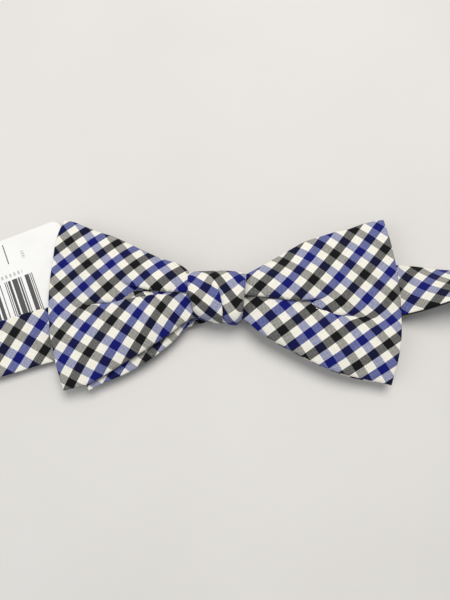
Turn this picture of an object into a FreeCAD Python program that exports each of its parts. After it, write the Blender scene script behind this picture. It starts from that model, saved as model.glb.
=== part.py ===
import FreeCAD, Part
import math
import os

from FreeCAD import Vector

# A pre-tied bow tie lying face up with its neckband open to both sides. Millimetres.
# +X runs along the bow to the viewer's right, +Y to the top of the bow, +Z out of its face.
# The origin is on the flat back of the knot, under the knot's centre.

# Bow, knot and neckband
KNOT_HALF_X = 9.7            # half the knot's width along X
KNOT_HALF_Y = 9.5            # half the knot's height along Y
KNOT_TOP = 12.9              # front of the knot above its back
KNOT_CORNER_R = 2.6
WRAP_T = 0.9                 # knot wrap, two plies of shirting
KNOT_LINING_T = 0.85         # interlining inside the wrap
PLY_GAP = 0.05               # between plies that are sewn together
WAIST_HALF_X = 10.2          # pinched middle of both bows
WAIST_HALF_Y = 7.2
WING_REACH = 66.0            # past the outer edge of every wing

LEFT_ANGLE = 193.3           # direction of the left band in the XY plane, degrees
RIGHT_ANGLE = 4.0
BAND_W = 18.0
BAND_Z = 3.1                 # underside of the band
STRAP_T = 0.8                # lining, interlining and face together
LINING_T = 0.22
INTERLINING_T = 0.30
FACE_T = 0.24
SEW_GAP = 0.02
FOLD_R = 12.5                # where each band starts to turn, from the knot's centre
FOLD_GAP = 0.2
CENTRE_HALF_W = 6.5          # half width of the band where it leaves the knot

# Metal findings, placed by their distance from the knot's centre along the band
BAR_R = 205.0                # bars that the eye and the hook turn on
BAR_RADIUS = 0.90
RETURN_Z = 0.3               # underside of the strap that comes back under the band
LEG = 2.0                    # straight strap on each side of a turn
PLATE_T = 1.4
PLATE_START = 2.7            # plate's inner edge, from the bar
PLATE_HALF_W = 11.0
RAIL_W = 1.4
SLIDER_R = 160.0
SLIDER_BAR_RADIUS = 0.5
SLIDER_HALF_L = 6.5
SLIDER_T = 1.0
RUN_START = 176.0            # outermost stretch of strap, which feeds round the eye
LOOP_TAIL = 14.0             # strap end sewn back on itself behind the slider's bar

# Price tag
TAG_R = 61.5                 # its hole, along the left band
TAG_ANGLE = 112.2            # direction of the card's long side
TAG_W = 38.0
TAG_L = 46.0
TAG_T = 0.3
TAG_Z = 0.9
TAG_HOLE_FROM_END = 5.0
TAG_HOLE_RADIUS = 1.5
TAG_CORNER_R = 3.0
FILAMENT_RADIUS = 0.35

THREAD_RADIUS = 0.12

TOP = 40.0                   # taller than anything that is cut or crossed
UP = Vector(0, 0, 1)
ORIGIN = Vector(0, 0, 0)

FOLD_INNER = (BAND_Z - RETURN_Z - STRAP_T) / 2.0
FOLD_Z = RETURN_Z + STRAP_T + FOLD_INNER


def line(a, b):
    return Part.LineSegment(Vector(*a, 0), Vector(*b, 0)).toShape()


def arc(a, mid, b):
    return Part.Arc(Vector(*a, 0), Vector(*mid, 0), Vector(*b, 0)).toShape()


def box(x, y, z):
    """A box from (low, high) pairs."""
    low = Vector(x[0], y[0], z[0])
    return Part.makeBox(x[1] - x[0], y[1] - y[0], z[1] - z[0], low)


def turned(shape, angle):
    """A shape drawn along +X, turned about the Z axis."""
    copy = shape.copy()
    copy.rotate(ORIGIN, UP, angle)
    return copy


def polygon_xz(points, y_low, y_high):
    """A closed XZ outline carried from y_low to y_high."""
    corners = [Vector(x, y_low, z) for x, z in points]
    face = Part.Face(Part.makePolygon(corners + corners[:1]))
    return face.extrude(Vector(0, y_high - y_low, 0))


def one_solid(shape):
    return shape.removeSplitter().Solids[0]


def rounded_tunnel(half_x, half_y, z, radius):
    """A bar along X with its four long edges rounded."""
    bar = box((-half_x, half_x), (-half_y, half_y), z)
    long_edges = [e for e in bar.Edges if abs(e.tangentAt(e.FirstParameter).x) > 0.99]
    return bar.makeFillet(radius, long_edges)


def sleeve(half_x, outer_y, outer_z, thickness, radius):
    """A rounded tube along X, of even wall."""
    outer = rounded_tunnel(half_x, outer_y, outer_z, radius)
    inner_z = (outer_z[0] + thickness, outer_z[1] - thickness)
    inner_r = max(radius - thickness, 0.2)
    inner = rounded_tunnel(half_x + 1.0, outer_y - thickness, inner_z, inner_r)
    return outer.cut(inner)


def bow_outline(left, right):
    """Closed outline of both wings and the waist. Each wing is its top edge's middle, top
    corner, outer edge's middle, bottom corner and bottom edge's middle."""
    x, y = WAIST_HALF_X, WAIST_HALF_Y
    edges = [
        arc((-x, y), left[0], left[1]),
        arc(left[1], left[2], left[3]),
        arc(left[3], left[4], (-x, -y)),
        line((-x, -y), (x, -y)),
        arc((x, -y), right[4], right[3]),
        arc(right[3], right[2], right[1]),
        arc(right[1], right[0], (x, y)),
        line((x, y), (-x, y)),
    ]
    return Part.Face(Part.Wire(edges))


def bow_ply(outline, waist, edge):
    """One ply: level through the knot, then sloping to its outer edges. waist and edge are
    the heights of its underside and its top."""
    x, far = WAIST_HALF_X, WING_REACH
    profile = [
        (-far, edge[0]),
        (-x, waist[0]),
        (x, waist[0]),
        (far, edge[0]),
        (far, edge[1]),
        (x, waist[1]),
        (-x, waist[1]),
        (-far, edge[1]),
    ]
    slab = polygon_xz(profile, -TOP, TOP)
    return one_solid(slab.common(outline.extrude(Vector(0, 0, TOP))))


def band_levels():
    """Underside and top of the band's lining, interlining and face."""
    lining = (BAND_Z, BAND_Z + LINING_T)
    interlining = (lining[1] + SEW_GAP, lining[1] + SEW_GAP + INTERLINING_T)
    face = (interlining[1] + SEW_GAP, interlining[1] + SEW_GAP + FACE_T)
    return {"lining": lining, "interlining": interlining, "face": face}


def band_centre(z):
    """The band inside the knot, narrowed to pass through it."""
    half = WAIST_HALF_Y + 0.2
    neck = KNOT_HALF_X + 0.2
    ends = {}
    for side, angle in (("left", LEFT_ANGLE), ("right", RIGHT_ANGLE)):
        for hand in (-1, 1):
            corner = Part.Vertex(FOLD_R, hand * CENTRE_HALF_W, 0)
            ends[side, hand] = turned(corner, angle).Point
    corners = [
        ends["left", 1],
        Vector(-neck, -half, 0),
        Vector(neck, -half, 0),
        ends["right", -1],
        ends["right", 1],
        Vector(neck, half, 0),
        Vector(-neck, half, 0),
        ends["left", -1],
    ]
    face = Part.Face(Part.makePolygon(corners + corners[:1]))
    face.translate(Vector(0, 0, z[0]))
    return face.extrude(Vector(0, 0, z[1] - z[0]))


def turn_of_strap(r, z, inner, outward, width=BAND_W):
    """Strap bent half round a bar at (r, z), towards +X if outward, else towards -X."""
    start = Vector(r, -width / 2.0, z)
    along = Vector(0, 1, 0)
    outer = Part.makeCylinder(inner + STRAP_T, width, start, along)
    ring = outer.cut(Part.makeCylinder(inner, width, start, along))
    reach = (r, r + 3.0 * STRAP_T + inner) if outward else (r - 3.0 * STRAP_T - inner, r)
    return ring.common(box(reach, (-width, width), (-TOP, TOP)))


def strap_length(start, end, z, width=BAND_W):
    return box((start, end), (-width / 2.0, width / 2.0), (z, z + STRAP_T))


def strap_slope(points):
    """Strap between levels: points are (r, underside) pairs."""
    under = list(points)
    over = [(r, z + STRAP_T) for r, z in reversed(points)]
    return polygon_xz(under + over, -BAND_W / 2.0, BAND_W / 2.0)


def stitch_row(r, z, length, count, half_w):
    """Short threads side by side across the strap, each lying along it."""
    rods = []
    for i in range(count):
        y = -half_w + 2.0 * half_w * i / (count - 1)
        rods.append(Part.makeCylinder(THREAD_RADIUS, length, Vector(r, y, z), Vector(1, 0, 0)))
    return rods


def finding_frame(plate_end):
    """Bar for the strap, two rails past the strap's edges and the plate they carry."""
    bar = Part.makeCylinder(
        BAR_RADIUS, 2.0 * PLATE_HALF_W, Vector(BAR_R, -PLATE_HALF_W, FOLD_Z), Vector(0, 1, 0)
    )
    level = (FOLD_Z - PLATE_T / 2.0, FOLD_Z + PLATE_T / 2.0)
    plate = box((BAR_R + PLATE_START, plate_end), (-PLATE_HALF_W, PLATE_HALF_W), level)
    corners = [
        e
        for e in plate.Edges
        if abs(e.tangentAt(e.FirstParameter).z) > 0.99 and e.CenterOfMass.x > plate_end - 0.1
    ]
    frame = plate.makeFillet(1.6, corners).fuse(bar)
    for hand in (-1, 1):
        edge = sorted((hand * PLATE_HALF_W, hand * (PLATE_HALF_W - RAIL_W)))
        frame = frame.fuse(box((BAR_R - 0.5, BAR_R + PLATE_START + 0.5), edge, level))
    return frame


def eye():
    """Loop of metal on the band's end, with a slot for the hook."""
    end = BAR_R + 12.2
    slot = box((BAR_R + 4.2, BAR_R + 10.2), (-6.0, 6.0), (-TOP, TOP))
    upright = [e for e in slot.Edges if abs(e.tangentAt(e.FirstParameter).z) > 0.99]
    return one_solid(finding_frame(end).cut(slot.makeFillet(1.2, upright)))


def hook():
    """Plate with a tongue that curls up and back over itself."""
    tongue_half_w = 4.0
    tongue_t = 1.0
    curl_inner = 0.9
    plate_end = BAR_R + 6.2
    curl_r = BAR_R + 13.0
    low = FOLD_Z - tongue_t / 2.0
    width = (-tongue_half_w, tongue_half_w)
    curl_z = low + tongue_t + curl_inner
    tongue = box((plate_end - 1.0, curl_r), width, (low, low + tongue_t))
    start = Vector(curl_r, -tongue_half_w, curl_z)
    across = Vector(0, 1, 0)
    ring = Part.makeCylinder(curl_inner + tongue_t, 2 * tongue_half_w, start, across)
    ring = ring.cut(Part.makeCylinder(curl_inner, 2 * tongue_half_w, start, across))
    ring = ring.common(box((curl_r, curl_r + 5.0), width, (-TOP, TOP)))
    over = curl_z + curl_inner
    point = box((curl_r - 6.0, curl_r), width, (over, over + tongue_t))
    return one_solid(finding_frame(plate_end).fuse([tongue, ring, point]))


def slider():
    """Ring over the strap, joined at its sides to a round bar under the strap."""
    over = BAND_Z + STRAP_T + 0.1
    inner_w = BAND_W / 2.0 + 0.3
    outer_w = inner_w + 1.5
    reach = (SLIDER_R - SLIDER_HALF_L, SLIDER_R + SLIDER_HALF_L)
    ring = box(reach, (-outer_w, outer_w), (over, over + SLIDER_T))
    upright = [e for e in ring.Edges if abs(e.tangentAt(e.FirstParameter).z) > 0.99]
    ring = ring.makeFillet(1.8, upright)
    window = box((reach[0] + 1.8, reach[1] - 1.8), (-inner_w, inner_w), (-TOP, TOP))
    ring = ring.cut(window)
    z = slider_bar_z()
    bar = Part.makeCylinder(
        SLIDER_BAR_RADIUS, 2.0 * outer_w, Vector(SLIDER_R, -outer_w, z), Vector(0, 1, 0)
    )
    parts = [bar]
    for hand in (-1, 1):
        side = sorted((hand * inner_w, hand * outer_w))
        parts.append(box((SLIDER_R - 0.9, SLIDER_R + 0.9), side, (z - 0.5, over + 0.5)))
    return one_solid(ring.fuse(parts))


def slider_bar_z():
    return RETURN_Z + STRAP_T + SLIDER_BAR_RADIUS + PLY_GAP


def strap_end_loop():
    """End of the strap, turned round the slider's bar and laid back on itself."""
    inner = SLIDER_BAR_RADIUS + PLY_GAP
    z = slider_bar_z()
    over = z + inner
    low = RETURN_Z + STRAP_T + SEW_GAP
    tail = [
        (SLIDER_R, over),
        (SLIDER_R + 3.0, over),
        (SLIDER_R + 7.0, low),
        (SLIDER_R + LOOP_TAIL - 1.0, low),
    ]
    turn = turn_of_strap(SLIDER_R, z, inner, outward=False)
    under = strap_length(SLIDER_R, SLIDER_R + LOOP_TAIL, RETURN_Z)
    return one_solid(turn.fuse([under, strap_slope(tail)]))


def strap_fold():
    """Strap where it turns round the eye's bar."""
    turn = turn_of_strap(BAR_R, FOLD_Z, FOLD_INNER, outward=True)
    over = strap_length(BAR_R - LEG, BAR_R, BAND_Z)
    under = strap_length(BAR_R - LEG, BAR_R, RETURN_Z)
    return one_solid(turn.fuse([over, under]))


def hook_loop():
    """Right end of the band, turned round the hook's bar and sewn to its own underside."""
    low = BAND_Z - STRAP_T - SEW_GAP
    tail = [
        (BAR_R - 21.0, low),
        (BAR_R - 8.0, low),
        (BAR_R - LEG - 0.5, RETURN_Z),
        (BAR_R, RETURN_Z),
    ]
    turn = turn_of_strap(BAR_R, FOLD_Z, FOLD_INNER, outward=True)
    over = strap_length(BAR_R - LEG, BAR_R, BAND_Z)
    return one_solid(turn.fuse([over, strap_slope(tail)]))


def tag_card():
    """Card with rounded corners and a hole near one end, its long side turned to TAG_ANGLE."""
    far = TAG_L - TAG_HOLE_FROM_END
    level = (TAG_Z, TAG_Z + TAG_T)
    card = box((-TAG_HOLE_FROM_END, far), (-TAG_W / 2.0, TAG_W / 2.0), level)
    upright = [e for e in card.Edges if abs(e.tangentAt(e.FirstParameter).z) > 0.99]
    card = card.makeFillet(TAG_CORNER_R, upright)
    card = card.cut(Part.makeCylinder(TAG_HOLE_RADIUS, TOP, Vector(0, 0, -1.0)))
    card = turned(card, TAG_ANGLE)
    card.translate(turned(Part.Vertex(TAG_R, 0, 0), LEFT_ANGLE).Point)
    return card


def fastener_pocket():
    """Room in the band's lower plies for the fastener's bar."""
    levels = band_levels()
    z = (BAND_Z - 1.0, levels["interlining"][1] + SEW_GAP)
    return box((TAG_R - 4.3, TAG_R + 4.3), (-0.65, 0.65), z)


def tag_fastener():
    """Plastic thread with a bar inside the band and a paddle under the card."""
    levels = band_levels()
    bar = box((TAG_R - 4.0, TAG_R + 4.0), (-0.45, 0.45), (BAND_Z, levels["interlining"][1]))
    paddle = box((TAG_R - 2.5, TAG_R + 2.5), (-1.1, 1.1), (0.25, TAG_Z - 0.1))
    thread = Part.makeCylinder(FILAMENT_RADIUS, BAND_Z - 0.2, Vector(TAG_R, 0, 0.4))
    return one_solid(bar.fuse([paddle, thread]))


os.makedirs("parts", exist_ok=True)


def save(node, shape):
    if shape.isNull() or not shape.isValid():
        raise RuntimeError(node + " is not a valid solid")
    shape.exportStep("parts/" + node + ".step")
    print("%-28s %9.2f mm3" % (node, shape.Volume))


# Bows. Each is a flat tube of shirting with interlining, sewn at its edges and pinched.
front_outline = bow_outline(
    [(-32.0, 19.2), (-54.5, 28.0), (-57.1, -0.5), (-50.0, -30.5), (-30.0, -21.3)],
    [(31.0, 20.6), (58.0, 28.3), (63.0, -3.6), (57.7, -28.6), (31.4, -20.6)],
)
rear_outline = bow_outline(
    [(-29.5, 16.2), (-49.0, 24.0), (-50.5, -3.0), (-42.7, -30.5), (-25.0, -22.3)],
    [(30.0, 17.5), (53.0, 25.0), (57.5, -3.5), (54.0, -28.2), (31.0, -21.3)],
)
bow_plies = {
    "rear_bow_back": (rear_outline, (4.40, 5.10), (4.40, 4.75)),
    "rear_bow_interlining": (rear_outline, (5.15, 6.25), (4.80, 5.10)),
    "rear_bow_face": (rear_outline, (6.30, 7.05), (5.15, 5.55)),
    "front_bow_back": (front_outline, (7.10, 7.85), (5.60, 5.95)),
    "front_bow_interlining": (front_outline, (7.90, 9.25), (6.00, 6.35)),
    "front_bow_face": (front_outline, (9.30, 10.50), (6.40, 6.80)),
}
for node, (outline, waist, edge) in bow_plies.items():
    save(node, bow_ply(outline, waist, edge))

# Knot: a wrap with its own interlining, closed at the back, over the gathering thread.
save("knot_wrap", sleeve(KNOT_HALF_X, KNOT_HALF_Y, (0.0, KNOT_TOP), WRAP_T, KNOT_CORNER_R))
save(
    "knot_interlining",
    sleeve(
        KNOT_HALF_X - 0.4,
        KNOT_HALF_Y - WRAP_T - PLY_GAP,
        (WRAP_T + PLY_GAP, KNOT_TOP - WRAP_T - PLY_GAP),
        KNOT_LINING_T,
        KNOT_CORNER_R - WRAP_T - PLY_GAP,
    ),
)
SEAM_Y = 3.6
save("knot_seam_allowance", box((-9.0, 9.0), (SEAM_Y - 2.9, SEAM_Y + 2.9), (1.90, 2.95)))
THREAD_T = 0.4
thread_loops = []
for x in (-1.6, -0.8, 0.0, 0.8, 1.6):
    loop = sleeve(0.2, WAIST_HALF_Y + THREAD_T + 0.03, (3.95, 10.94), THREAD_T, 0.5)
    loop.translate(Vector(x, 0, 0))
    thread_loops.append(loop)
save("gathering_thread", Part.makeCompound(thread_loops))

# Neckband: lining, interlining and face, inside the knot and on each side of it.
left_end = RUN_START
right_end = BAR_R - LEG
for ply, z in band_levels().items():
    save("neckband_centre_" + ply, band_centre(z))
    left = box((FOLD_R + FOLD_GAP, left_end), (-BAND_W / 2.0, BAND_W / 2.0), z)
    save("neckband_left_" + ply, turned(one_solid(left.cut(fastener_pocket())), LEFT_ANGLE))
    right = box((FOLD_R + FOLD_GAP, right_end), (-BAND_W / 2.0, BAND_W / 2.0), z)
    save("neckband_right_" + ply, turned(right, RIGHT_ANGLE))

# Left end: the strap goes round the eye and comes back to the slider.
save("adjuster_strap_run", turned(strap_length(RUN_START, BAR_R - LEG, BAND_Z), LEFT_ANGLE))
save(
    "adjuster_strap_return",
    turned(strap_length(SLIDER_R + LOOP_TAIL, BAR_R - LEG, RETURN_Z), LEFT_ANGLE),
)
save("adjuster_strap_fold", turned(strap_fold(), LEFT_ANGLE))
save("adjuster_strap_end", turned(strap_end_loop(), LEFT_ANGLE))
tack_r = SLIDER_R + 9.5
tack_top = RETURN_Z + 2.0 * STRAP_T + SEW_GAP + THREAD_RADIUS
tacks = stitch_row(tack_r, tack_top, 2.2, 13, 7.5)
tacks += stitch_row(tack_r, RETURN_Z - THREAD_RADIUS, 2.2, 13, 7.5)
save("adjuster_tack_stitches", turned(Part.makeCompound(tacks), LEFT_ANGLE))
save("adjuster_slider", turned(slider(), LEFT_ANGLE))
save("neckband_eye", turned(eye(), LEFT_ANGLE))

# Right end: the strap is sewn round the hook.
save("hook_strap_loop", turned(hook_loop(), RIGHT_ANGLE))
tack_r = BAR_R - 16.0
tacks = stitch_row(tack_r, BAND_Z + STRAP_T + THREAD_RADIUS, 2.2, 13, 7.5)
tacks += stitch_row(tack_r, BAND_Z - STRAP_T - SEW_GAP - THREAD_RADIUS, 2.2, 13, 7.5)
save("hook_tack_stitches", turned(Part.makeCompound(tacks), RIGHT_ANGLE))
save("neckband_hook", turned(hook(), RIGHT_ANGLE))

# Blank care label, folded and sewn under the right band.
LABEL_R = 150.0
LABEL_L = 18.0
LABEL_T = 0.3
label_z = BAND_Z - LABEL_T - SEW_GAP
save(
    "care_label",
    turned(
        box((LABEL_R, LABEL_R + LABEL_L), (-6.0, 6.0), (label_z, label_z + LABEL_T)), RIGHT_ANGLE
    ),
)
label_stitches = stitch_row(LABEL_R + 1.0, label_z - THREAD_RADIUS, 1.6, 9, 5.4)
label_stitches += stitch_row(LABEL_R + LABEL_L - 2.6, label_z - THREAD_RADIUS, 1.6, 9, 5.4)
save("care_label_stitches", turned(Part.makeCompound(label_stitches), RIGHT_ANGLE))

# Price tag, hung under the left band.
save("price_tag_card", tag_card())
save("price_tag_fastener", turned(tag_fastener(), LEFT_ANGLE))

for side, angle in (("left", LEFT_ANGLE), ("right", RIGHT_ANGLE)):
    for what, r, z in (("fold", FOLD_R, BAND_Z), ("bar", BAR_R, FOLD_Z)):
        x = r * math.cos(math.radians(angle))
        y = r * math.sin(math.radians(angle))
        print("%s %s axis at (%.4f, %.4f, %.4f)" % (side, what, x, y, z))
tag_point = turned(Part.Vertex(TAG_R, 0, 0), LEFT_ANGLE).Point
print("tag axis at (%.4f, %.4f)" % (tag_point.x, tag_point.y))
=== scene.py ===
import bmesh
import bpy
import math
import numpy as np
from mathutils import Matrix, Vector


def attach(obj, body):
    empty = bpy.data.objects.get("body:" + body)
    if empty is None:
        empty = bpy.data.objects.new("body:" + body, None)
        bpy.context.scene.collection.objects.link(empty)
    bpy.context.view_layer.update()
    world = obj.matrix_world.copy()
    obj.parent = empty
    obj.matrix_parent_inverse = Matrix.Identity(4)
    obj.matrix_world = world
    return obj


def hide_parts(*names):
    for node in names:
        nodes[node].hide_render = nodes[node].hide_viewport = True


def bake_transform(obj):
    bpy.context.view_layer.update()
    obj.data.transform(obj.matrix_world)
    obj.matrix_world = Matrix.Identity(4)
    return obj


# A pre-tied gingham bow tie, lying face up. Lengths are in millimetres and become metres on
# the way into Blender. +X runs along the bow, +Y to its top edge and +Z out of its face.

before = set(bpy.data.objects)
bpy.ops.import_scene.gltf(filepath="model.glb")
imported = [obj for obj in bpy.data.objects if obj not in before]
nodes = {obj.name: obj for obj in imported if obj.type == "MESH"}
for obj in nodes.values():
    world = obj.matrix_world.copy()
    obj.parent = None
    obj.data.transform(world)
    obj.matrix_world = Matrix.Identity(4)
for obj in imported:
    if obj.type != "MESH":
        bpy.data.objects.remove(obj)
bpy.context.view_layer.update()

MM = 0.001
UV_PER_MM = 0.01

CHECK = 12.8                    # one repeat of the checks: black, white, blue, white
WING_START = 2.0                # where each wing's cloth starts, from the knot's middle

# The band, as distances from the knot's centre along it and heights of its middle
LEFT = math.radians(193.3)      # directions of the two bands
RIGHT = math.radians(4.0)
BAND_HALF_W = 9.0
BAND_MID = 3.5
RETURN_MID = 0.7                # strap that comes back under the band
TAIL_MID = 1.55                 # its sewn end, behind the slider
HOOK_TAIL_MID = 2.66            # the right band's sewn end, inside the hook
RUN_START = 90.2                # where the adjusting strap takes over
BAR_R = 205.0                   # bars of the eye and the hook
BAR_Z = 2.1
SLIDER_R = 160.0
SLIDER_BAR_Z = 1.65
SLIDER_LOOP_R = 0.95
LABEL_R = (150.0, 168.0)
LABEL_HALF_W = 5.9

# The price tag
TAG_R = 61.5                    # its hole, along the left band
TAG_ANGLE = math.radians(112.2)
TAG_FRONT = 1.15                # only what is higher is printed


# ---------------------------------------------------------------- camera, light and floor

def make_camera(target=(3.0, 0.0, 6.0), tilt=math.radians(12.0), distance=187.0, lens=32.7):
    """A phone held over the tie and leaning back a little from straight down."""
    back = Vector((0.0, -math.sin(tilt), math.cos(tilt)))
    up = Vector((0.0, math.cos(tilt), math.sin(tilt)))
    right = Vector((1.0, 0.0, 0.0))
    data = bpy.data.cameras.new("camera")
    data.sensor_width = 36.0
    data.lens = lens
    data.clip_start = 0.01
    camera = bpy.data.objects.new("camera", data)
    place = Matrix((right, up, back)).transposed().to_4x4()
    place.translation = (Vector(target) + back * distance) * MM
    camera.matrix_world = place
    bpy.context.scene.collection.objects.link(camera)
    bpy.context.scene.camera = camera


def area_light(name, place, size, power, colour):
    """A round light that faces the tie. Its place and size are in metres."""
    data = bpy.data.lights.new(name, "AREA")
    data.shape = "DISK"
    data.size = size
    data.energy = power
    data.color = colour
    light = bpy.data.objects.new(name, data)
    light.location = place
    light.rotation_mode = "QUATERNION"
    light.rotation_quaternion = (-Vector(place)).to_track_quat("-Z", "Y")
    bpy.context.scene.collection.objects.link(light)


def make_world(strength, colour):
    world = bpy.data.worlds.new("studio")
    world.use_nodes = True
    background = world.node_tree.nodes["Background"]
    background.inputs["Color"].default_value = (*colour, 1.0)
    background.inputs["Strength"].default_value = strength
    bpy.context.scene.world = world


make_camera()
area_light("key_light", place=(0.08, 0.26, 0.68), size=0.46, power=4.0, colour=(1.0, 0.975, 0.94))
area_light("fill_light", place=(-0.55, -0.15, 0.55), size=0.60, power=1.3, colour=(0.95, 0.975, 1.0))
make_world(0.34, (0.95, 0.97, 1.0))
bpy.context.scene.view_settings.view_transform = "Standard"


# ---------------------------------------------------------------- materials

ROOT_HALF = math.sqrt(0.5)      # turns bias coordinates by 45 degrees


class Graph:
    """A material and short ways to add nodes to it."""

    def __init__(self, name, **shader):
        self.material = bpy.data.materials.new(name)
        self.material.use_nodes = True
        self.tree = self.material.node_tree
        self.shader = self.tree.nodes["Principled BSDF"]
        for socket, value in shader.items():
            self.shader.inputs[socket.replace("_", " ")].default_value = value

    def put(self, socket, value):
        if isinstance(value, bpy.types.NodeSocket):
            self.tree.links.new(value, socket)
        else:
            socket.default_value = value

    def add(self, kind, inputs=(), **settings):
        node = self.tree.nodes.new(kind)
        for key, value in settings.items():
            setattr(node, key, value)
        for key, value in dict(inputs).items():
            self.put(node.inputs[key], value)
        return node

    def math(self, operation, a, b=0.0, c=0.0):
        node = self.tree.nodes.new("ShaderNodeMath")
        node.operation = operation
        for i, value in enumerate((a, b, c)):
            if i < len(node.inputs):
                self.put(node.inputs[i], value)
        return node.outputs[0]

    def mix(self, factor, a, b):
        node = self.tree.nodes.new("ShaderNodeMix")
        node.data_type = "RGBA"
        self.put(node.inputs[0], factor)
        self.put(node.inputs[6], a)
        self.put(node.inputs[7], b)
        return node.outputs[2]

    def blend_values(self, factor, a, b):
        return self.math("MULTIPLY_ADD", factor, self.math("SUBTRACT", b, a), a)

    def combine(self, x=0.0, y=0.0, z=0.0):
        return self.add("ShaderNodeCombineXYZ", {0: x, 1: y, 2: z}).outputs[0]

    def noise(self, vector, scale=1.0, detail=2.0, rough=0.5):
        node = self.add("ShaderNodeTexNoise", {"Vector": vector, "Scale": scale, "Detail": detail,
                                               "Roughness": rough})
        return node.outputs["Fac"]

    def ramp(self, factor, stops, smooth=False):
        node = self.tree.nodes.new("ShaderNodeValToRGB")
        node.color_ramp.interpolation = "LINEAR" if smooth else "CONSTANT"
        elements = node.color_ramp.elements
        for i, (place, colour) in enumerate(stops):
            element = elements[i] if i < 2 else elements.new(place)
            element.position = place
            element.color = (*colour, 1.0)
        self.put(node.inputs[0], factor)
        return node.outputs["Color"]

    def flat_mm(self):
        """The cloth's own coordinates before it was folded, in millimetres."""
        uv = self.add("ShaderNodeUVMap", uv_map="flat").outputs[0]
        parts = self.add("ShaderNodeSeparateXYZ", {0: uv})
        return [self.math("MULTIPLY", parts.outputs[i], 1.0 / UV_PER_MM) for i in (0, 1)]

    def object_mm(self):
        place = self.add("ShaderNodeTexCoord").outputs["Object"]
        return self.add("ShaderNodeVectorMath", {0: place, 3: 1.0 / MM}, operation="SCALE").outputs[0]

    def bump(self, height, distance, strength=1.0, under=None):
        node = self.add("ShaderNodeBump", {"Height": height, "Distance": distance, "Strength": strength})
        if under is not None:
            self.put(node.inputs["Normal"], under)
        return node.outputs[0]

    def finish(self, colour=None, normal=None, roughness=None):
        for socket, value in (("Base Color", colour), ("Normal", normal), ("Roughness", roughness)):
            if value is not None:
                self.put(self.shader.inputs[socket], value)
        return self.material


def woven(g, p, q, pitch):
    """Which yarn is on top in a plain weave, and the height of the yarns."""
    across = g.math("DIVIDE", p, pitch)
    along = g.math("DIVIDE", q, pitch)
    cell = g.math("ADD", g.math("FLOOR", across), g.math("FLOOR", along))
    over = g.math("FLOORED_MODULO", cell, 2.0)
    round_p = g.math("ABSOLUTE", g.math("SINE", g.math("MULTIPLY", across, math.pi)))
    round_q = g.math("ABSOLUTE", g.math("SINE", g.math("MULTIPLY", along, math.pi)))
    height = g.blend_values(over, g.math("MULTIPLY", round_q, 0.8), round_p)
    return over, height


def gingham():
    """Shirting checked in white, blue and black, laid on the bias, woven yarn by yarn."""
    white = (0.973, 0.962, 0.920)
    blue = (0.050, 0.113, 0.49)
    black = (0.062, 0.070, 0.094)
    g = Graph("check_fabric", Roughness=0.82, Specular_IOR_Level=0.22, Sheen_Weight=0.10,
              Sheen_Roughness=0.45)
    u, v = g.flat_mm()
    p = g.math("MULTIPLY", g.math("ADD", u, v), ROOT_HALF)
    q = g.math("MULTIPLY", g.math("SUBTRACT", u, v), ROOT_HALF)
    wander = g.noise(g.combine(p, q), 0.35, 3.0)
    p = g.math("ADD", p, g.math("MULTIPLY", g.math("SUBTRACT", wander, 0.5), 0.30))
    q = g.math("SUBTRACT", q, g.math("MULTIPLY", g.math("SUBTRACT", wander, 0.5), 0.22))
    stops = [(0.0, black), (0.25, white), (0.5, blue), (0.75, white)]
    colours = []
    for position in (p, q):
        turn = g.math("FRACT", g.math("MULTIPLY_ADD", position, 1.0 / CHECK, 0.125))
        colours.append(g.ramp(turn, stops))
    over, height = woven(g, p, q, pitch=0.30)
    share = g.math("MULTIPLY_ADD", over, 0.40, 0.415)       # of one yarn's colour over the other's
    cloth = g.mix(share, colours[0], colours[1])
    slub_p = g.noise(g.combine(g.math("MULTIPLY", p, 3.3), g.math("MULTIPLY", q, 0.16)), 1.0, 2.0)
    slub_q = g.noise(g.combine(g.math("MULTIPLY", p, 0.16), g.math("MULTIPLY", q, 3.3)), 1.0, 2.0)
    slub = g.blend_values(over, slub_p, slub_q)
    # slub is the yarns' own uneven tone; the height term is painted shade, darker where each yarn curves
    # down between its neighbours
    yarn_tone_and_painted_shade = g.math("MULTIPLY_ADD", slub, 0.16, 0.90)
    yarn_tone_and_painted_shade = g.math("MULTIPLY", yarn_tone_and_painted_shade, g.math("MULTIPLY_ADD", height, 0.10, 0.93))
    toned = g.add("ShaderNodeVectorMath", {0: cloth, 3: yarn_tone_and_painted_shade}, operation="SCALE").outputs[0]
    colour = g.add("ShaderNodeGamma", {0: toned, 1: 2.7}).outputs[0]       # darkens mixed checks
    weave = g.bump(g.math("ADD", height, g.math("MULTIPLY", slub, 0.8)), 0.05 * MM, 0.55)
    crumple = g.bump(g.noise(g.combine(u, v), 0.22, 3.0, 0.6), 0.55 * MM, 0.45, weave)
    rough = g.math("MULTIPLY_ADD", slub, 0.16, 0.74)
    return g.finish(colour, crumple, rough)


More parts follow.
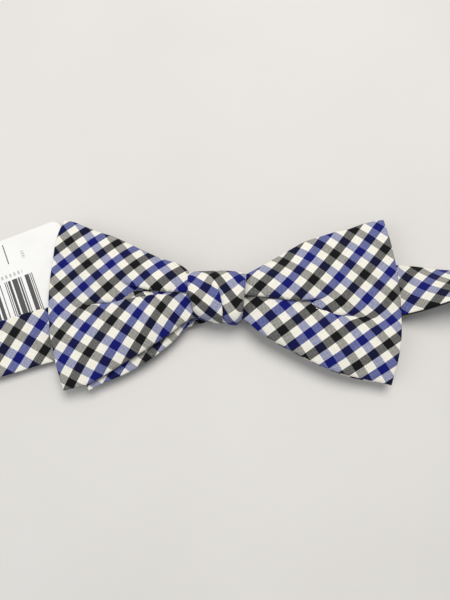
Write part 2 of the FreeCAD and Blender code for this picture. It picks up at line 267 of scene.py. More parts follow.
def satin(name, tone, pitch, gloss):
    """Smooth satin with long floats: the lining and the care label."""
    g = Graph(name, Roughness=gloss, Specular_IOR_Level=0.45, Sheen_Weight=0.06, Anisotropic=0.35)
    u, v = g.flat_mm()
    fine = g.noise(g.combine(g.math("MULTIPLY", u, 0.5), g.math("MULTIPLY", v, 9.0)), 1.0, 3.0)
    rib = g.math("ABSOLUTE", g.math("SINE", g.math("MULTIPLY", v, math.pi / pitch)))
    # fine is the floats' own uneven tone; rib is painted shade, darker in the grooves between the ribs
    yarn_tone_and_painted_shade = g.math("MULTIPLY_ADD", fine, 0.35, 0.80)
    yarn_tone_and_painted_shade = g.math("MULTIPLY", yarn_tone_and_painted_shade, g.math("MULTIPLY_ADD", rib, 0.12, 0.90))
    colour = g.add("ShaderNodeVectorMath", {0: (*tone,), 3: yarn_tone_and_painted_shade}, operation="SCALE").outputs[0]
    normal = g.bump(g.math("ADD", rib, fine), 0.03 * MM, 0.5)
    wide = g.bump(g.noise(g.combine(u, v), 0.18, 2.0), 0.4 * MM, 0.4, normal)
    return g.finish(colour, wide, g.math("MULTIPLY_ADD", fine, 0.25, gloss))


def felt():
    """Non-woven interlining."""
    g = Graph("interlining", Roughness=0.95, Specular_IOR_Level=0.1, Sheen_Weight=0.15)
    place = g.object_mm()
    hairs = g.noise(place, 2.6, 6.0, 0.7)
    clumps = g.noise(place, 0.35, 3.0)
    colour = g.ramp(g.math("MULTIPLY_ADD", hairs, 0.7, g.math("MULTIPLY", clumps, 0.3)),
                    [(0.25, (0.62, 0.61, 0.57)), (0.75, (0.83, 0.82, 0.78))], smooth=True)
    return g.finish(colour, g.bump(hairs, 0.08 * MM, 0.7), g.math("MULTIPLY_ADD", hairs, 0.1, 0.88))


def yarn():
    """Twisted sewing thread."""
    g = Graph("thread", Roughness=0.6, Specular_IOR_Level=0.3, Sheen_Weight=0.1)
    place = g.object_mm()
    parts = g.add("ShaderNodeSeparateXYZ", {0: place})
    x, y, z = parts.outputs
    lean = g.math("ADD", g.math("MULTIPLY", x, 9.0), g.math("MULTIPLY", y, 14.0))
    twist = g.math("SINE", g.math("ADD", lean, g.math("MULTIPLY", z, 11.0)))
    fuzz = g.noise(place, 4.0, 3.0)
    level = g.math("MULTIPLY_ADD", twist, 0.25, fuzz)
    colour = g.ramp(level, [(0.2, (0.012, 0.014, 0.035)), (0.9, (0.05, 0.055, 0.10))], smooth=True)
    return g.finish(colour, g.bump(level, 0.03 * MM, 0.6), g.math("MULTIPLY_ADD", fuzz, 0.2, 0.5))


def plated():
    """Nickel-plated steel, brushed by handling."""
    g = Graph("plated_metal", Metallic=1.0, Roughness=0.26)
    place = g.object_mm()
    stretch = g.add("ShaderNodeVectorMath", {0: place, 1: (0.4, 5.0, 5.0)}, operation="MULTIPLY")
    scratch = g.noise(stretch.outputs[0], 1.6, 5.0, 0.65)
    cloud = g.noise(place, 0.28, 3.0)
    colour = g.ramp(g.math("MULTIPLY_ADD", scratch, 0.35, g.math("MULTIPLY", cloud, 0.65)),
                    [(0.3, (0.50, 0.50, 0.51)), (0.7, (0.72, 0.71, 0.69))], smooth=True)
    rough = g.math("MULTIPLY_ADD", scratch, 0.22, g.math("MULTIPLY_ADD", cloud, 0.15, 0.10))
    return g.finish(colour, g.bump(scratch, 0.012 * MM, 0.5), rough)


def nylon():
    """Milky clear nylon."""
    g = Graph("tag_plastic", Roughness=0.28, Transmission_Weight=0.55, IOR=1.5, Subsurface_Weight=0.2)
    place = g.object_mm()
    cloud = g.noise(place, 1.4, 3.0)
    colour = g.ramp(cloud, [(0.3, (0.80, 0.81, 0.80)), (0.7, (0.93, 0.94, 0.93))], smooth=True)
    return g.finish(colour, g.bump(cloud, 0.03 * MM, 0.3), g.math("MULTIPLY_ADD", cloud, 0.2, 0.18))


def card():
    """White coated card with plain print: a block of bars over a row of dashes, one thin rule
    and a few small ticks. along and across are millimetres from the hole."""
    g = Graph("tag_card", Roughness=0.5, Specular_IOR_Level=0.4)
    hole = (TAG_R * math.cos(LEFT), TAG_R * math.sin(LEFT), 0.0)
    place = g.add("ShaderNodeVectorMath", {0: g.object_mm(), 1: hole}, operation="SUBTRACT").outputs[0]
    turned = g.add("ShaderNodeVectorRotate", {"Vector": place, "Angle": -TAG_ANGLE},
                   rotation_type="Z_AXIS").outputs[0]
    along, across, height = g.add("ShaderNodeSeparateXYZ", {0: turned}).outputs

    def inside(value, low, high):
        return g.math("MULTIPLY", g.math("GREATER_THAN", value, low), g.math("LESS_THAN", value, high))

    def block(marks, across_span, along_span):
        area = g.math("MULTIPLY", inside(across, *across_span), inside(along, *along_span))
        return g.math("MULTIPLY", marks, area)

    def repeated(value, pitch, share):
        return g.math("LESS_THAN", g.math("FRACT", g.math("DIVIDE", value, pitch)), share)

    column = g.math("FLOOR", g.math("DIVIDE", across, 0.31))
    chance = g.add("ShaderNodeTexWhiteNoise", {"W": column}, noise_dimensions="1D").outputs["Value"]
    bars = block(g.math("GREATER_THAN", chance, 0.46), (-4.4, 15.4), (10.8, 25.6))
    rule = block(1.0, (2.45, 2.80), (31.6, 39.2))
    dashes = block(repeated(across, 1.5, 0.5), (-1.0, 15.0), (26.7, 28.0))
    ticks = block(repeated(along, 0.9, 0.6), (-3.6, -2.5), (31.8, 34.6))
    grey = g.math("MULTIPLY", g.math("ADD", dashes, ticks), 0.45)
    ink = g.math("MAXIMUM", bars, g.math("MAXIMUM", rule, grey))
    front = g.math("GREATER_THAN", height, TAG_FRONT)
    ink = g.math("MULTIPLY", g.math("MULTIPLY", ink, front), 0.93)
    fibre = g.noise(place, 3.0, 5.0, 0.7)
    cloud = g.noise(place, 0.12, 2.0)
    paper = g.ramp(g.math("MULTIPLY_ADD", fibre, 0.5, g.math("MULTIPLY", cloud, 0.5)),
                   [(0.25, (0.83, 0.83, 0.81)), (0.75, (0.93, 0.93, 0.92))], smooth=True)
    colour = g.mix(ink, paper, (0.015, 0.015, 0.018, 1.0))
    return g.finish(colour, g.bump(fibre, 0.02 * MM, 0.4), g.math("MULTIPLY_ADD", fibre, 0.2, 0.36))


def pale_floor():
    """Plain matt board under the tie."""
    g = Graph("pale_floor", Roughness=0.75, Specular_IOR_Level=0.2)
    place = g.object_mm()
    cloud = g.noise(place, 0.01, 3.0)
    colour = g.ramp(cloud, [(0.3, (0.70, 0.685, 0.66)), (0.7, (0.74, 0.725, 0.70))], smooth=True)
    return g.finish(colour, g.bump(g.noise(place, 1.2, 3.0), 0.03 * MM, 0.3))


CHECKED = gingham()
LINING = satin("black_lining", (0.012, 0.012, 0.014), 0.22, 0.42)
LABEL = satin("label_satin", (0.80, 0.79, 0.76), 0.30, 0.38)
FELT = felt()
THREAD = yarn()
METAL = plated()
NYLON = nylon()
CARD = card()


# ---------------------------------------------------------------- shapes

def curve(*points):
    """A smooth function through (x, y) points, straight beyond its ends."""
    xs = np.array([p[0] for p in points], float)
    ys = np.array([p[1] for p in points], float)
    slope = np.gradient(ys, xs)

    def at(x):
        x = np.asarray(x, float)
        i = np.clip(np.searchsorted(xs, x) - 1, 0, len(xs) - 2)
        h = xs[i + 1] - xs[i]
        t = (x - xs[i]) / h
        k = np.clip(t, 0.0, 1.0)
        y = (2 * k**3 - 3 * k**2 + 1) * ys[i] + (k**3 - 2 * k**2 + k) * h * slope[i]
        y += (3 * k**2 - 2 * k**3) * ys[i + 1] + (k**3 - k**2) * h * slope[i + 1]
        return y + slope[i] * h * np.minimum(t, 0) + slope[i + 1] * h * np.maximum(t - 1, 0)

    return at


def smooth(x, low=0.0, high=1.0):
    """0 up to low, 1 past high and an S curve between."""
    t = np.clip((np.asarray(x, float) - low) / (high - low), 0.0, 1.0)
    return t * t * (3.0 - 2.0 * t)


def unit(a):
    return a / np.maximum(np.linalg.norm(a, axis=-1, keepdims=True), 1e-9)


def make_object(name, points, faces, flat, material):
    """A smooth mesh from points in millimetres, with the flat cloth's coordinates as its UVs."""
    mesh = bpy.data.meshes.new(name)
    mesh.from_pydata((np.asarray(points) * MM).tolist(), [], faces)
    layer = mesh.uv_layers.new(name="flat")
    corners = np.zeros(len(mesh.loops), np.int32)
    mesh.loops.foreach_get("vertex_index", corners)
    layer.data.foreach_set("uv", (np.asarray(flat)[corners] * UV_PER_MM).astype(np.float32).ravel())
    cleaner = bmesh.new()
    cleaner.from_mesh(mesh)
    bmesh.ops.recalc_face_normals(cleaner, faces=cleaner.faces)
    cleaner.to_mesh(mesh)
    cleaner.free()
    mesh.polygons.foreach_set("use_smooth", [True] * len(mesh.polygons))
    mesh.materials.append(material)
    piece = bpy.data.objects.new(name, mesh)
    bpy.context.scene.collection.objects.link(piece)
    return piece


RIM = [(math.sin(math.radians(a)), math.cos(math.radians(a))) for a in (25, 48, 68, 84)]
UNDER = 0.72                    # how far under the surface a hem lies, as a share of its offset


def hem_turns(width, radius):
    """Further (outward, upward) steps that take an edge on past the rim and back underneath."""
    turns = [(math.sin(a), math.cos(a) * UNDER) for a in (2.0, 2.5)]
    return turns + [(-k * width / radius, -UNDER) for k in (0.0, 0.35, 0.7, 1.0)]


def extended(middle, before, after, axis):
    """An array with more rows on both sides of it, each list in order from the middle out."""
    return np.concatenate([np.stack(before[::-1], axis), middle, np.stack(after, axis)], axis)


def shell(name, grid, material, outer, inner, flip=1.0, wrap=False, hem=0.0):
    """A closed ply round a grid of (x, y, z, u, v) points.

    outer and inner are (offset along the normal, radius of the rim) for its two surfaces. With
    wrap the grid closes on itself across; with hem its two long edges turn under by that much.
    """
    space = grid[..., :3]
    along = np.gradient(space, axis=0)
    if wrap:
        across = np.roll(space, -1, 1) - np.roll(space, 1, 1)
    else:
        across = np.gradient(space, axis=1)
    normal = unit(np.cross(along, across)) * flip

    def outward(edge, near):
        d = edge - near
        return d / np.maximum(np.linalg.norm(d[..., :3], axis=-1, keepdims=True), 1e-9)

    def rounded(full, raised, radius, turns, axis):
        """The surface with its first and last rows along an axis carried round by the turns."""
        def row(array, i):
            return array[i] if axis == 0 else array[:, i]

        head = outward(row(full, 0), row(full, 1)) * radius
        tail = outward(row(full, -1), row(full, -2)) * radius
        places = extended(full, [row(full, 0) + head * s for s, _ in turns],
                          [row(full, -1) + tail * s for s, _ in turns], axis)
        rises = extended(raised, [row(raised, 0) * c for _, c in turns],
                         [row(raised, -1) * c for _, c in turns], axis)
        return places, rises

    surfaces = []
    for offset, radius in (outer, inner):
        full, raised = rounded(grid, normal * offset, radius, RIM, 0)
        if not wrap:
            turns = RIM + (hem_turns(hem, radius) if hem else [])
            full, raised = rounded(full, raised, radius, turns, 1)
        full[..., :3] += raised
        surfaces.append(full)
    nu, nv = surfaces[0].shape[:2]
    points = np.concatenate([s.reshape(-1, 5) for s in surfaces])
    number = np.arange(nu * nv).reshape(nu, nv)
    below = number + nu * nv
    faces = []
    span = nv if wrap else nv - 1
    for sheet, turn in ((number, 1), (below, -1)):
        a, b = sheet[:-1], sheet[1:]
        for j in range(span):
            k = (j + 1) % nv
            quads = np.stack([a[:, j], b[:, j], b[:, k], a[:, k]], 1)
            faces += quads[:, ::turn].tolist()
    for i in (0, nu - 1):
        for j in range(span):
            k = (j + 1) % nv
            faces.append([number[i, j], number[i, k], below[i, k], below[i, j]])
    if not wrap:
        for j in (0, nv - 1):
            for i in range(nu - 1):
                faces.append([number[i, j], below[i, j], below[i + 1, j], number[i + 1, j]])
    faces = [[int(n) for n in f] for f in faces]
    return make_object(name, points[:, :3], faces, points[:, 3:], material)


# ---------------------------------------------------------------- the two bows

def turn_point(amount, width):
    """Where a fold of that amount turns back, as a share of its width, from its centre."""
    ratio = np.clip(2.0 * width / (math.pi * np.maximum(amount, 1e-6)), 0.0, 1.0)
    return 2.0 / math.pi * np.arccos(ratio)


def fold_step(x):
    """How far across a fold a point is: 0 below it, 1 above it."""
    return 0.5 * (1.0 + np.sin(0.5 * math.pi * np.clip(x, -1.0, 1.0)))


def bell(x, middle, spread):
    """1 at the middle, falling off to both sides."""
    return np.exp(-(((x - middle) / spread) ** 2))


def cloth_coordinates(side, x, y, above, cloth):
    """Flat coordinates of a wing's checks. above is 0 below its folds and 1 above them.

    In cloth, zero and across place and stretch the checks along the wing, slide and drift move
    the lower side's and lean the upper side's. low and high are each side's (scale, offset,
    slope from reach inwards) across the wing, and pinch and crown bend the upper side's.
    """
    u = side * cloth["across"] * (x + y**2 / 150.0) - cloth["zero"][0]
    u = u - (cloth["slide"] + cloth["drift"] * bell(x, 27.0, 16.0)) * (1.0 - above)
    u = u - cloth["lean"] * above * (np.maximum(y, 0.0) / 28.0) ** 3
    low, high = [scale * y + offset + slope * (cloth["reach"] - x)
                 for scale, offset, slope in (cloth["low"], cloth["high"])]
    high = high + cloth["pinch"] * y * bell(x, 20.0, 9.0)
    high = high - cloth["crown"] * smooth(x, 28.0, 50.0) * (np.maximum(y, 0.0) / 26.0) ** 2
    return u, low + above * (high - low) - cloth["zero"][1]


def wing(side, top, bottom, outer, ends, folds, level, dome, cloth, count=(84, 150), inset=0.8):
    """One wing of a bow as a grid of points, from the knot's middle outwards.

    top, bottom and outer are its edges and ends the heights where outer starts and stops. Each
    fold has its amount, the lip where it turns back, its width and its rise; pull is its part
    in where the checks pass from the lower to the upper side. level and dome are heights.
    """
    u = np.linspace(0.0, 1.0, count[0])[:, None] ** 1.1
    v = np.linspace(0.0, 1.0, count[1])[None, :]
    edge = outer(ends[0] + v * (ends[1] - ends[0])) - inset
    x = WING_START + u * (edge - WING_START)
    high, low = top(x) - inset, bottom(x) + inset
    total = sum(2.0 * f["amount"](x) for f in folds)
    s = low + v * (high + total - low)
    y = s.copy()
    z = level(x)
    above = np.zeros_like(s)
    weight = np.full_like(s, 1e-6)
    middle = 1e-6 * folds[0]["lip"](x)
    shift = 0.0
    for f in folds:
        amount, width = np.maximum(f["amount"](x), 0.0), f["width"](x)
        turn = turn_point(amount, width)
        centre = f["lip"](x) - width * turn + amount * (1.0 + np.sin(0.5 * math.pi * turn)) + shift
        g = fold_step((s - centre) / width)
        y -= 2.0 * amount * g
        away = np.maximum(np.abs(s - centre) - width, 0.0)
        z = z + f["rise"] * amount * (g - 0.5) * np.exp(-((away / 8.0) ** 2))
        pull = f.get("pull", 1.0) * (amount + 1e-3)
        above += pull * g
        weight += pull
        middle += amount * centre
        shift = shift + 2.0 * amount
    middle = middle / (sum(np.maximum(f["amount"](x), 0.0) for f in folds) + 1e-6)
    upper = np.clip((s - middle) / np.maximum(high + total - middle, 1.0), 0.0, 1.0)
    lower = np.clip((middle - s) / np.maximum(middle - low, 1.0), 0.0, 1.0)
    z = z + dome(x) * (np.sin(math.pi * upper) ** 0.85 + np.sin(math.pi * lower) ** 0.85)
    corner = smooth(x, 38.0, 58.0) * (2.0 * v - 1.0) ** 4
    z = z - 0.8 * corner
    ripple = np.sin(0.23 * x + 0.31 * s + side) * np.sin(0.11 * x - 0.27 * s + 2.0 * side)
    z = z + 0.16 * ripple * smooth(x, 12.0, 30.0)
    flat_u, flat_v = cloth_coordinates(side, x, y, above / weight, cloth)
    return np.stack([side * x, y, z, flat_u, flat_v], -1)


def bow(name, left, right, thickness):
    """Face, interlining and back of one bow, sewn together along the edge."""
    grid = np.concatenate([left[::-1], right])
    t = thickness
    made = []
    for ply, material, outer, inner, trim, step in (
        ("face", CHECKED, (t, t + 0.2), (t - 0.24, t - 0.04), 0, 1),
        ("interlining", FELT, (t - 0.30, 0.25), (0.30 - t, 0.25), 2, 2),
        ("back", CHECKED, (0.24 - t, t - 0.04), (-t, t + 0.2), 0, 1),
    ):
        part = grid[trim : len(grid) - trim : step, trim : grid.shape[1] - trim]
        node = name + "_" + ply
        made.append((node, shell(node + "_cloth", part, material, outer, inner)))
    return made


LEFT_CLOTH = {
    "zero": (-39.2, 5.1), "across": 1.07, "slide": 0.1, "drift": 2.0, "lean": -1.0, "reach": 54.0,
    "low": (1.06, 0.5, -0.27), "high": (1.17, 0.0, 0.04), "pinch": 0.0, "crown": 1.2,
}
RIGHT_CLOTH = {
    "zero": (14.9, 9.95), "across": 1.0, "slide": -1.0, "drift": 0.0, "lean": 1.5, "reach": 58.0,
    "low": (1.08, -0.5, -0.135), "high": (1.08, 0.0, 0.135), "pinch": 0.12, "crown": 0.0,
}

front_left = wing(
    -1,
    top=curve((2, 7.2), (8.5, 8.4), (11, 10.8), (19.5, 14.4), (37, 22.8), (47, 27.2), (51, 28.6),
              (55.5, 28.9)),
    bottom=curve((2, -6.8), (8, -6.9), (17, -13.1), (32, -22.6), (43, -28.9), (50, -30.6)),
    outer=curve((-30.9, 50.8), (-20.6, 53.7), (-12, 55.8), (0, 57.3), (13.4, 56.7), (26, 55.2),
                (28.9, 54.2)),
    ends=(-30.9, 28.9),
    folds=[
        {"amount": curve((2, 0.1), (13, 0.2), (18, 1.1), (22, 2.0), (28, 2.7), (36, 2.5), (44, 1.5),
                         (52, 0.4), (58, 0.2)),
         "lip": curve((14, 1.0), (20, 0.8), (24.7, 0.4), (34.6, -0.6), (42.5, -1.6), (48, -3.1),
                      (54, -4.8)),
         "width": curve((10, 1.8), (26, 1.9), (36, 2.6), (46, 4.5), (56, 6.0)), "rise": 0.60},
        {"amount": curve((2, 4.8), (16, 5.2), (22, 4.2), (26, 2.8), (31, 0.9), (36, 0.1), (60, 0.1)),
         "lip": curve((2, 1.4), (9.9, 2.2), (17.8, 2.3), (22.6, 2.9), (26, 3.9), (33, 6.2)),
         "width": curve((2, 2.6), (20, 2.5), (26, 2.2), (34, 3.5)), "rise": 0.50, "pull": 0.30},
    ],
    level=curve((2, 8.3), (10, 8.4), (30, 7.8), (56, 6.5)),
    dome=curve((2, 0.9), (9, 1.0), (16, 2.9), (26, 2.6), (40, 1.6), (56, 0.7)),
    cloth=LEFT_CLOTH,
)
front_right = wing(
    1,
    top=curve((2, 7.2), (8.5, 7.4), (11.4, 9.0), (15.2, 11.2), (22.2, 15.4), (26.6, 18.0),
              (30.4, 20.2), (36, 22.2), (45.6, 25.5), (51, 27.7), (59, 29.1)),
    bottom=curve((2, -6.8), (9, -7.0), (15.5, -12.2), (23, -16.4), (38, -23.9), (57.7, -28.8)),
    outer=curve((-28.9, 58.6), (-13.9, 62.2), (-3.6, 63), (13.4, 62.0), (29.4, 59.4)),
    ends=(-28.9, 29.4),
    folds=[
        {"amount": curve((2, 0.1), (14, 0.2), (19, 1.0), (25, 2.1), (31, 2.7), (39, 2.4), (46, 1.4),
                         (54, 0.4), (62, 0.2)),
         "lip": curve((14, -0.2), (20, -1.1), (27.4, -2.4), (32, -3.5), (36.5, -4.3), (42, -5.4),
                      (48, -6.1), (58, -7.0)),
         "width": curve((10, 1.6), (28, 1.8), (38, 2.7), (48, 4.5), (60, 6.0)), "rise": 0.60},
        {"amount": curve((2, 4.8), (18, 5.0), (25, 3.9), (31, 2.4), (37, 1.0), (42, 0.1), (62, 0.1)),
         "lip": curve((2, 1.9), (9.8, 1.2), (17.5, 0.4), (24, -0.4), (28, -0.5), (34, 0.1), (42, 0.9)),
         "width": curve((2, 2.6), (24, 2.5), (30, 2.3), (40, 4.0)), "rise": 0.50},
    ],
    level=curve((2, 8.3), (10, 8.4), (30, 7.8), (62, 6.5)),
    dome=curve((2, 0.1), (10.2, 0.0), (12, 1.2), (17, 2.9), (26, 2.6), (42, 1.6), (62, 0.7)),
    cloth=RIGHT_CLOTH,
)
rear_fold = {
    "amount": curve((2, 3.0), (16, 3.0), (30, 1.6), (46, 0.3)),
    "lip": curve((2, 0.5), (40, -1.0)),
    "width": curve((2, 3.4), (46, 4.5)),
    "rise": 0.22,
}
rear_left = wing(
    -1,
    top=curve((2, 6.6), (9, 7.0), (29.5, 16.4), (49, 24.5)),
    bottom=curve((2, -6.8), (8, -7.4), (14, -13.6), (22.3, -20.4), (28.9, -24.4), (38.7, -28.8),
                 (43, -31.0)),
    outer=curve((-30.8, 42.9), (-16, 48.5), (-3, 50.5), (12, 50.6), (24, 49)),
    ends=(-30.8, 24.0),
    folds=[rear_fold],
    level=curve((2, 5.4), (50, 4.9)),
    dome=curve((2, 0.2), (20, 0.45), (50, 0.25)),
    cloth=dict(LEFT_CLOTH, zero=(-2.4, 3.9), low=(1.0, 0.0, -0.1), high=(1.0, 0.0, 0.1)),
    count=(60, 90),
)
rear_right = wing(
    1,
    top=curve((2, 6.6), (9, 7.0), (30, 17.5), (53, 25)),
    bottom=curve((2, -6.8), (9, -6.9), (15.5, -11.6), (31, -20.6), (46, -26.6), (54, -28.0)),
    outer=curve((-28.2, 54), (-14, 57), (-3.5, 57.5), (12, 56.5), (25, 53)),
    ends=(-28.2, 25.0),
    folds=[rear_fold],
    level=curve((2, 5.4), (58, 4.9)),
    dome=curve((2, 0.2), (20, 0.45), (58, 0.25)),
    cloth=dict(RIGHT_CLOTH, zero=(3.0, 1.0)),
    count=(60, 90),
)

# share is how much of the flat rectangle each ply covers once it is cut to the bow's shape
for name, left, right, thickness, flat, share in (
    ("front_bow", front_left, front_right, 0.62, (0.128, 0.078), 0.60),
    ("rear_bow", rear_left, rear_right, 0.50, (0.118, 0.072), 0.48),
):
    for node, piece in bow(name, left, right, thickness):
        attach(piece, "bow")
        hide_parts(node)


# ---------------------------------------------------------------- the knot

KNOT_SPAN = (8.7, 5.95)         # its half height and half depth, as the checks run round it
CREASE_FOLD = 1.55              # cloth hidden in its crease


def turned_checks(place_x, place_y, zero, angle, scale, shift=0.0):
    """Flat coordinates along and across the yarns of cloth laid at an angle in degrees."""
    dx, dy = place_x - zero[0], place_y - zero[1]
    down = math.radians(angle)
    along = scale * (dx * math.cos(down) + dy * math.sin(down))
    across = scale * (-dx * math.sin(down) + dy * math.cos(down)) + shift
    return across, along


def knot_grid(shrink=0.0, count=(76, 220), side_trim=0.0, creased=1.0):
    """The wrap round the middle of the bows: a barrel with one diagonal fold down its front."""
    e = np.linspace(0.0, 1.0, count[0])[:, None]
    a = np.linspace(0.0, 2.0 * math.pi, count[1], endpoint=False)[None, :]
    c, s = np.cos(a), np.sin(a)
    soft_c = np.sign(c) * np.abs(c) ** 0.78
    soft_s = np.sign(s) * np.abs(s) ** 0.66
    height = KNOT_SPAN[0] * soft_c
    left = curve((-9, -7.0), (-6, -7.6), (-2.4, -8.6), (0, -8.9), (7, -9.2))(height) + side_trim
    right = 9.2 + 0.08 * height - side_trim
    front = smooth(s, -0.55, 0.0)
    amount = CREASE_FOLD * creased * (1.0 - smooth(height, 0.6, 4.4)) * front
    width = 1.25 + 2.4 * smooth(height, 0.0, 4.6)
    crease = curve((-9, 1.5), (-6.7, 1.8), (-3.8, 1.6), (-1.7, 1.2), (1.5, 0.2), (3.6, -1.7), (8.7, -3.4))
    turn = turn_point(amount, width)
    centre = crease(height) + width * turn + amount * (1.0 - np.sin(0.5 * math.pi * turn))
    flat_x = left + e * (right + 2.0 * amount - left)
    g = fold_step((flat_x - centre) / width)
    x = flat_x - 2.0 * amount * g
    top = curve((-9.7, 9.5), (-3.4, 9.7), (0.3, 9.9), (6, 9.7), (9.7, 9.3))(x)
    bottom = curve((-9.7, -5.0), (-7.6, -5.6), (-4.6, -6.9), (-0.8, -7.6), (1.9, -8.0), (5, -8.8),
                   (7.2, -8.5), (8.6, -7.0), (9.4, -6.2))(x)
    near_edge = np.minimum(x - left, right - x)
    roll = 0.50 * np.exp(-np.maximum(near_edge, 0.0) / 0.55) + 0.05 * (x / 9.0) ** 4
    away = np.maximum(np.abs(flat_x - centre) - width, 0.0)
    raised = 1.15 * creased * (0.5 - g) * np.exp(-((away / 2.6) ** 2)) * amount / CREASE_FOLD
    seam = -0.30 * bell(a, 4.75, 0.035) * creased
    swell = raised + seam - roll - shrink
    half_y = 0.5 * (top - bottom) - 0.45 + swell
    half_z = KNOT_SPAN[1] + swell
    y = 0.5 * (top + bottom) + half_y * soft_c
    z = 6.45 + half_z * soft_s
    outline = np.stack([KNOT_SPAN[0] * soft_c, KNOT_SPAN[1] * soft_s], -1)[0]
    length = np.concatenate([[0.0], np.cumsum(np.linalg.norm(np.diff(outline, axis=0), axis=1))])
    flat_y = (length[count[1] // 4] - length)[None, :] + 0.0 * x
    flat_y = flat_y - 0.3
    pl, ql = turned_checks(flat_x, flat_y, (-6.8, -3.8), -33.0, 1.05)
    pr, qr = turned_checks(flat_x - 2.0 * amount, flat_y, (-0.45, 6.2), -52.0, 1.10, CHECK)
    p, q = pl + g * (pr - pl), ql + g * (qr - ql)
    return np.stack([x, y, z, (p + q) * ROOT_HALF, (q - p) * ROOT_HALF], -1)


def seam_allowance_grid():
    """The wrap's turned-in edge, lying flat inside the back of the knot."""
    u = np.linspace(-8.4, 8.4, 40)[:, None]
    v = np.linspace(-2.7, 2.7, 14)[None, :]
    y = 3.0 + v + 0.15 * np.sin(0.9 * u)
    z = 2.05 + 0.10 * np.cos(2.2 * v)
    return np.stack(np.broadcast_arrays(u, y, z, u, v), -1)


lined = knot_grid(shrink=0.92, count=(30, 120), side_trim=0.8, creased=0.0)
knot = shell("knot_wrap_cloth", knot_grid(), CHECKED, (0.45, 0.42), (-0.40, 0.40), flip=-1.0, wrap=True)
inside = shell("knot_interlining_cloth", lined, FELT, (0.36, 0.2), (-0.36, 0.2), flip=-1.0, wrap=True)
allowance = shell("knot_seam_allowance_cloth", seam_allowance_grid(), CHECKED, (0.14, 0.14), (-0.14, 0.14))
for piece, node, kind in (
    (knot, "knot_wrap", "check_fabric"),
    (inside, "knot_interlining", "interlining"),
    (allowance, "knot_seam_allowance", "check_fabric"),
):
    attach(piece, "bow")
    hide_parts(node)


def winding(turns=5, per_turn=64, radius=0.17, sides=8):
    """Thread wound five times round the waist of the bows."""
    t = np.linspace(0.0, turns * 2.0 * math.pi, turns * per_turn)
    c, s = np.cos(t), np.sin(t)
    x = -1.8 + 3.6 * t / t[-1]
    y = 6.85 * np.sign(c) * np.abs(c) ** 0.6
    z = 7.45 + 3.45 * np.sign(s) * np.abs(s) ** 0.6
    line = np.stack([x, y, z], -1)
    tangent = unit(np.gradient(line, axis=0))
    side = unit(np.cross(tangent, np.array([1.0, 0.0, 0.0])))
    up = np.cross(side, tangent)
    ring = np.linspace(0.0, 2.0 * math.pi, sides, endpoint=False)[None, :, None]
    points = line[:, None] + radius * (np.cos(ring) * side[:, None] + np.sin(ring) * up[:, None])
    points = points.reshape(-1, 3)
    last = (len(line) - 1) * sides
    faces = [list(range(sides))[::-1], list(range(last, last + sides))]
    for i in range(0, last, sides):
        for j in range(sides):
            k = (j + 1) % sides
            faces.append([i + j, i + sides + j, i + sides + k, i + k])
    return make_object("gathering_thread_winding", points, faces, points[:, :2], THREAD)


wound = winding()
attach(wound, "bow")
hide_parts("gathering_thread")


# ---------------------------------------------------------------- neckband

# A route is a list of (distance from the knot, height) points.

def straight(points, r, z, spacing=1.6):
    """Carry a route on to (r, z), with points between at about that spacing."""
    r0, z0 = points[-1]
    steps = max(1, int(abs(r - r0) / spacing))
    for k in range(1, steps + 1):
        points.append((r0 + (r - r0) * k / steps, z0 + (z - z0) * k / steps))


def half_turn(points, centre, radius, start, count=14):
    """Carry a route clockwise half round a bar, from the angle start."""
    for k in range(1, count):
        a = start - math.pi * k / count
        points.append((centre[0] + radius * math.cos(a), centre[1] + radius * math.sin(a)))


def round_end_bar(points):
    """Carry a route on to the bar at the band's end, round it and a little way back."""
    straight(points, BAR_R, BAND_MID)
    half_turn(points, (BAR_R, BAR_Z), BAND_MID - BAR_Z, math.pi / 2)
    straight(points, BAR_R, RETURN_MID)


def left_route():
    points = [(0.4, BAND_MID)]
    straight(points, 90.0, BAND_MID, 1.2)
    return points


def run_route():
    points = [(RUN_START, BAND_MID)]
    round_end_bar(points)
    straight(points, BAR_R - 2.0, RETURN_MID)
    return points


def return_route():
    points = [(BAR_R - 2.1, RETURN_MID)]
    straight(points, SLIDER_R, RETURN_MID)
    half_turn(points, (SLIDER_R, SLIDER_BAR_Z), SLIDER_LOOP_R, -math.pi / 2)
    over = SLIDER_BAR_Z + SLIDER_LOOP_R
    straight(points, SLIDER_R, over)
    straight(points, SLIDER_R + 3.0, over)
    straight(points, SLIDER_R + 7.0, TAIL_MID)
    straight(points, SLIDER_R + 14.0, TAIL_MID)
    return points


def right_route():
    points = [(0.4, BAND_MID)]
    straight(points, 184.0, BAND_MID, 1.2)
    round_end_bar(points)
    straight(points, BAR_R - 2.5, RETURN_MID)
    straight(points, BAR_R - 8.0, HOOK_TAIL_MID)
    straight(points, BAR_R - 21.0, HOOK_TAIL_MID)
    return points


def on_band(angle, r, across):
    """X and Y of a point along a band and to its left."""
    return (r * math.cos(angle) - across * math.sin(angle),
            r * math.sin(angle) + across * math.cos(angle))


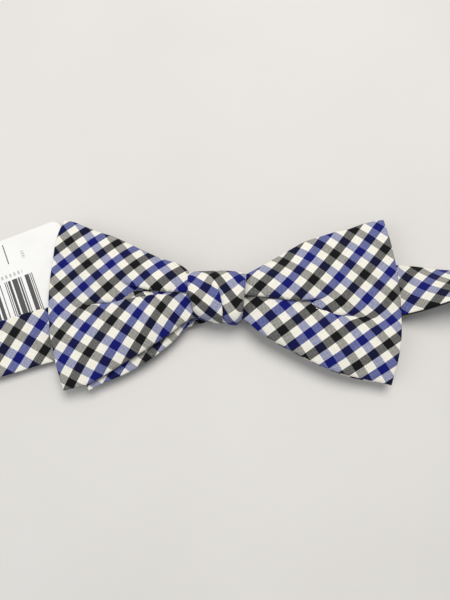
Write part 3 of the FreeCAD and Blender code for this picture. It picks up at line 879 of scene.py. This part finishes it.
def strap(angle, route, half=None, bow=None, roll=None, zero=(0.0, 0.0), start=0.0,
          span=(-BAND_HALF_W, BAND_HALF_W), count=22):
    """A band along a route, as a grid of points.

    half, bow and roll are functions of the distance from the knot: the band's half width, how
    far it lies to one side and its tilt about its own length.
    """
    route = np.array(route, float)
    r, z = route[:, :1], route[:, 1:]
    steps = np.linalg.norm(np.diff(route, axis=0), axis=1)
    length = start + np.concatenate([[0.0], np.cumsum(steps)])[:, None]
    w = np.linspace(span[0] + 0.4, span[1] - 0.4, count)[None, :]
    width = w if half is None else w * (half(r) / BAND_HALF_W)
    tilt = 0.0 * r if roll is None else roll(r)
    across = width * np.cos(tilt) + (0.0 if bow is None else bow(r))
    lift = np.maximum(9.1 * np.abs(np.sin(tilt)) - 2.7, 0.0)    # keeps the dipping edge off the table
    x, y = on_band(angle, r, across)
    height = z - width * np.sin(tilt) + lift
    return np.stack(np.broadcast_arrays(x, y, height, length - zero[0], width - zero[1]), -1)


def half_width(r):
    """Narrow inside the knot, and a little wide behind the wings."""
    spread = 0.5 * smooth(r, 24.0, 40.0) * (1.0 - smooth(r, 70.0, 90.0))
    return 6.3 + 2.7 * smooth(r, 10.5, 18.0) + spread


def left_bow(r):
    """The left band swings a little towards the top of the tie beside the tag."""
    return -1.9 * smooth(r, 18.0, 46.0) * (1.0 - smooth(r, 58.0, 90.0))


def right_roll(r):
    """The right band tips over past the wing and lies flat again further on."""
    return math.radians(50.0) * smooth(r, 54.0, 86.0) * (1.0 - smooth(r, 96.0, 142.0))


bands = [
    ("neckband_left", "left", LEFT, left_route(),
     dict(half=half_width, bow=left_bow, zero=(6.0, 5.0))),
    ("adjuster_strap", "run", LEFT, run_route(), dict(start=RUN_START, zero=(-3.0, 4.0))),
    ("adjuster_return", "return", LEFT, return_route(), dict(zero=(1.0, 0.0))),
    ("neckband_right", "right", RIGHT, right_route(),
     dict(half=half_width, roll=right_roll, zero=(8.3, -0.3))),
]
# The CAD solids that each ply takes the place of
STANDS_FOR = {
    ("left", "face"): ["neckband_left_face", "neckband_centre_face"],
    ("left", "interlining"): ["neckband_left_interlining", "neckband_centre_interlining"],
    ("left", "lining"): ["neckband_left_lining", "neckband_centre_lining"],
    ("run", "face"): ["adjuster_strap_run", "adjuster_strap_fold"],
    ("return", "face"): ["adjuster_strap_return", "adjuster_strap_end"],
    ("right", "face"): ["neckband_right_face", "hook_strap_loop"],
    ("right", "interlining"): ["neckband_right_interlining"],
    ("right", "lining"): ["neckband_right_lining"],
}
for name, kind, angle, route, how in bands:
    grid = strap(angle, route, **how)
    # the right lining reaches past the face on its -Y side, where it shows as a thin dark line
    lining_span = (-9.75, 8.0) if kind == "right" else (-8.0, 8.0)
    for ply, material, slot, outer, inner, hem, span in (
        ("face", CHECKED, "check_fabric", (0.38, 0.42), (0.17, 0.22), 1.7, None),
        ("interlining", FELT, "interlining", (0.13, 0.12), (-0.09, 0.12), 0.0, (-8.6, 8.6)),
        ("lining", LINING, "black_lining", (-0.29, 0.05), (-0.39, 0.05), 0.0, lining_span),
    ):
        part = grid if span is None else strap(angle, route, span=span, **how)
        piece = shell(name + "_" + ply + "_cloth", part, material, outer, inner, hem=hem)
        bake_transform(piece)
        standing = STANDS_FOR.get((kind, ply))
        if standing:
            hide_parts(*standing)


# ---------------------------------------------------------------- findings, label and tag

def label_grid():
    """The care label, sagging a little below the right band."""
    r = np.linspace(*LABEL_R, 40)[:, None]
    w = np.linspace(-LABEL_HALF_W, LABEL_HALF_W, 24)[None, :]
    share = (r - LABEL_R[0]) / (LABEL_R[1] - LABEL_R[0])
    z = 2.93 - 0.10 * np.sin(math.pi * share) * (1.0 - (w / 6.0) ** 4)
    x, y = on_band(RIGHT, r, w)
    return np.stack(np.broadcast_arrays(x, y, z, r, w), -1)


label = shell("care_label_satin", label_grid(), LABEL, (0.12, 0.10), (-0.12, 0.10))
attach(label, "neckband_right")
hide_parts("care_label")

for node, material in (
    ("neckband_eye", METAL),
    ("neckband_hook", METAL),
    ("adjuster_slider", METAL),
    ("adjuster_tack_stitches", THREAD),
    ("hook_tack_stitches", THREAD),
    ("care_label_stitches", THREAD),
    ("price_tag_card", CARD),
    ("price_tag_fastener", NYLON),
):
    mesh = nodes[node].data
    mesh.materials.clear()
    mesh.materials.append(material)

bpy.ops.mesh.primitive_plane_add(size=12.0, location=(0.0, 0.0, 0.0))
floor = bpy.context.object
floor.name = "floor"
floor.data.materials.append(pale_floor())
